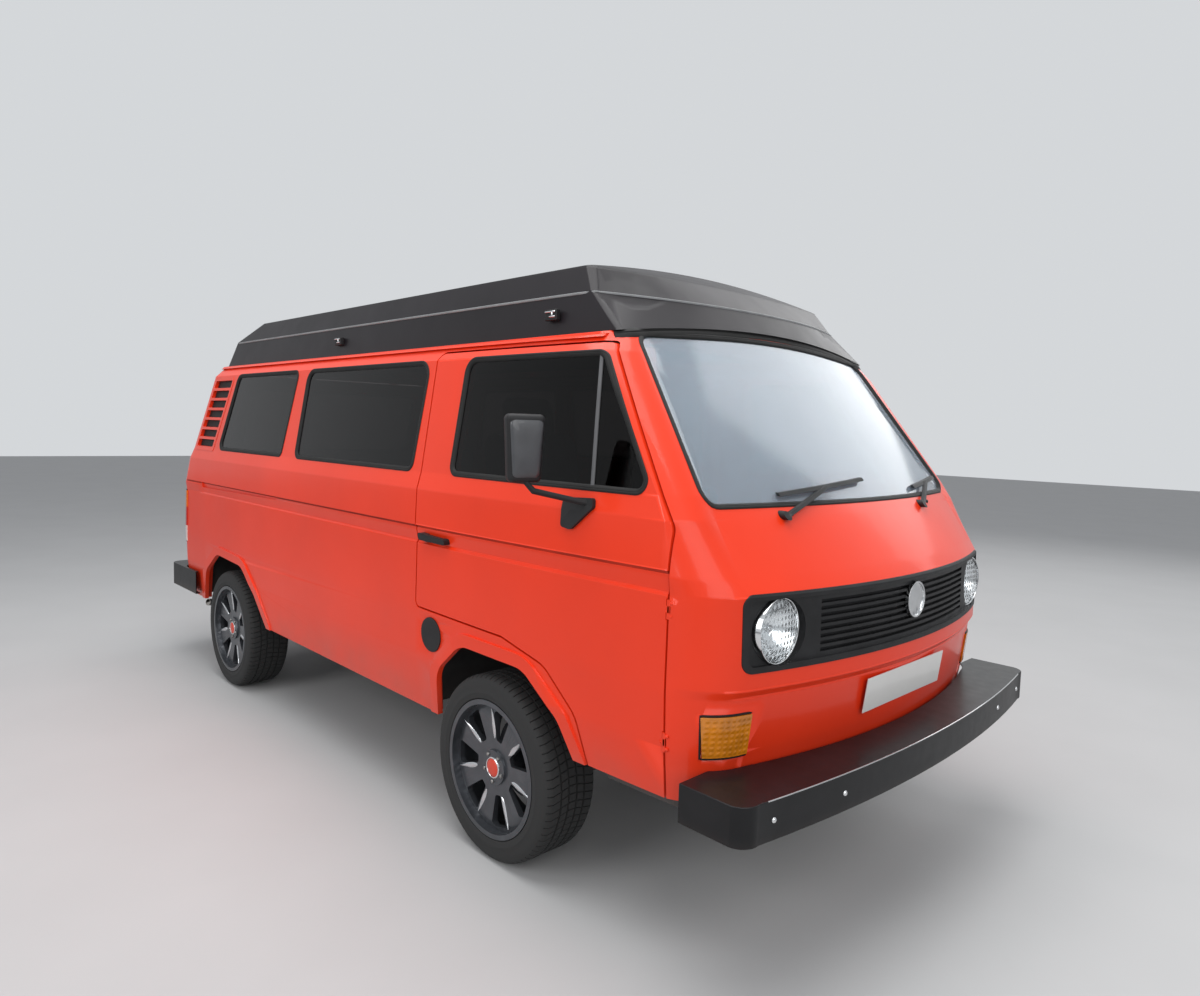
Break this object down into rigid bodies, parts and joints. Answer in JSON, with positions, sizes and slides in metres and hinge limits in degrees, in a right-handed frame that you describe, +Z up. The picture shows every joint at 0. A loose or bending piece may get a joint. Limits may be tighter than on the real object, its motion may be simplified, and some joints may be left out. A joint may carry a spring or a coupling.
{
  "type": "camper_van",
  "caption": "Boxy rear-engined camper van in orange-red with a black rising roof, steered front wheels, hinged front doors, tailgate and roof lid.",
  "frame": {"origin": "on the ground, midway along, between the wheels (centre of the box, at its foot)", "axes": "+X forward, +Y to the van's left, +Z up"},
  "size_m": [4.5698, 2.2518, 2.078],
  "materials": {
    "body_paint": "gloss orange red",
    "black_paint": "gloss black",
    "black_steel": "satin black",
    "black_plastic": "matt",
    "grey_plastic": "matt",
    "amber_plastic": "clear amber",
    "red_plastic": "clear red",
    "white_plastic": "gloss",
    "tinted_glass": "dark tint",
    "clear_glass": "clear",
    "lamp_glass": "clear",
    "chrome": "polished",
    "alloy": "gunmetal",
    "steel": "painted dark",
    "exhaust_steel": "dull",
    "tyre_rubber": "matt",
    "seat_fabric": "woven",
    "mattress_fabric": "woven",
    "unit_wood": "light veneer"
  },
  "bodies": {
    "shell": {"fuel_cap": "black_plastic", "sliding_door": "body_paint", "side_right": "body_paint", "side_left": "body_paint", "louvres": "body_paint", "front_panel": "body_paint", "indicators": "amber_plastic", "grille": "black_plastic", "headlamps": "lamp_glass", "badge": "chrome", "windscreen": "clear_glass", "side_windows": "tinted_glass", "rear_panel": "body_paint", "tail_lamps": "red_plastic", "roof_rim": "body_paint", "roof_tray": "black_paint", "roof_catches": "chrome", "bumpers": "black_steel", "number_plates": "white_plastic", "wipers": "black_plastic", "floor_pan": "steel", "rear_deck": "steel", "engine_block": "steel", "exhaust": "exhaust_steel", "front_suspension": "steel", "rear_suspension": "steel", "front_seats": "seat_fabric", "dashboard": "grey_plastic", "steering_wheel": "black_plastic", "kitchen_unit": "unit_wood", "rear_bench": "seat_fabric", "mattress": "mattress_fabric"},
    "door_right_body": {"door_right": "body_paint", "door_right_glass": "tinted_glass", "door_right_mirror_and_handle": "black_plastic"},
    "door_left_body": {"door_left": "body_paint", "door_left_glass": "tinted_glass", "door_left_mirror_and_handle": "black_plastic"},
    "tailgate_body": {"tailgate": "body_paint", "tailgate_glass": "tinted_glass"},
    "roof_lid_body": {"roof_lid": "black_paint"},
    "knuckle_right_body": {"knuckle_right": "steel"},
    "knuckle_left_body": {"knuckle_left": "steel"},
    "wheel_front_left": {"tyre_front_left": "tyre_rubber", "rim_front_left": "alloy"},
    "wheel_front_right": {"tyre_front_right": "tyre_rubber", "rim_front_right": "alloy"},
    "wheel_rear_left": {"tyre_rear_left": "tyre_rubber", "rim_rear_left": "alloy"},
    "wheel_rear_right": {"tyre_rear_right": "tyre_rubber", "rim_rear_right": "alloy"}
  },
  "joints": [
    {"name": "door_right_hinge", "type": "hinge", "parent": "shell", "child": "door_right_body", "pos_m": [1.8935, -0.88, 0.825], "axis": [0, 0, 1], "range_deg": [0, 65]},
    {"name": "door_left_hinge", "type": "hinge", "parent": "shell", "child": "door_left_body", "pos_m": [1.8935, 0.88, 0.825], "axis": [0, 0, -1], "range_deg": [0, 65]},
    {"name": "tailgate_hinge", "type": "hinge", "parent": "shell", "child": "tailgate_body", "pos_m": [-1.857, 0, 1.763], "axis": [0, 1, 0], "range_deg": [0, 85]},
    {"name": "roof_hinge", "type": "hinge", "parent": "shell", "child": "roof_lid_body", "pos_m": [-1.752, 0, 1.93625], "axis": [0, -1, 0], "range_deg": [0, 18]},
    {"name": "steer_right", "type": "hinge", "parent": "shell", "child": "knuckle_right_body", "pos_m": [1.125, -0.69, 0.32], "axis": [0, 0, 1], "range_deg": [-32, 32]},
    {"name": "steer_left", "type": "hinge", "parent": "shell", "child": "knuckle_left_body", "pos_m": [1.125, 0.69, 0.32], "axis": [0, 0, 1], "range_deg": [-32, 32]},
    {"name": "wheel_front_left_spin", "type": "hinge", "parent": "knuckle_left_body", "child": "wheel_front_left", "pos_m": [1.125, 0.802, 0.32], "axis": [0, 1, 0], "continuous": true},
    {"name": "wheel_front_right_spin", "type": "hinge", "parent": "knuckle_right_body", "child": "wheel_front_right", "pos_m": [1.125, -0.802, 0.32], "axis": [0, 1, 0], "continuous": true},
    {"name": "wheel_rear_left_spin", "type": "hinge", "parent": "shell", "child": "wheel_rear_left", "pos_m": [-1.335, 0.802, 0.32], "axis": [0, 1, 0], "continuous": true},
    {"name": "wheel_rear_right_spin", "type": "hinge", "parent": "shell", "child": "wheel_rear_right", "pos_m": [-1.335, -0.802, 0.32], "axis": [0, 1, 0], "continuous": true}
  ],
  "couplings": [
    {"joint": "steer_left", "follows": "steer_right", "ratio": 1}
  ]
}
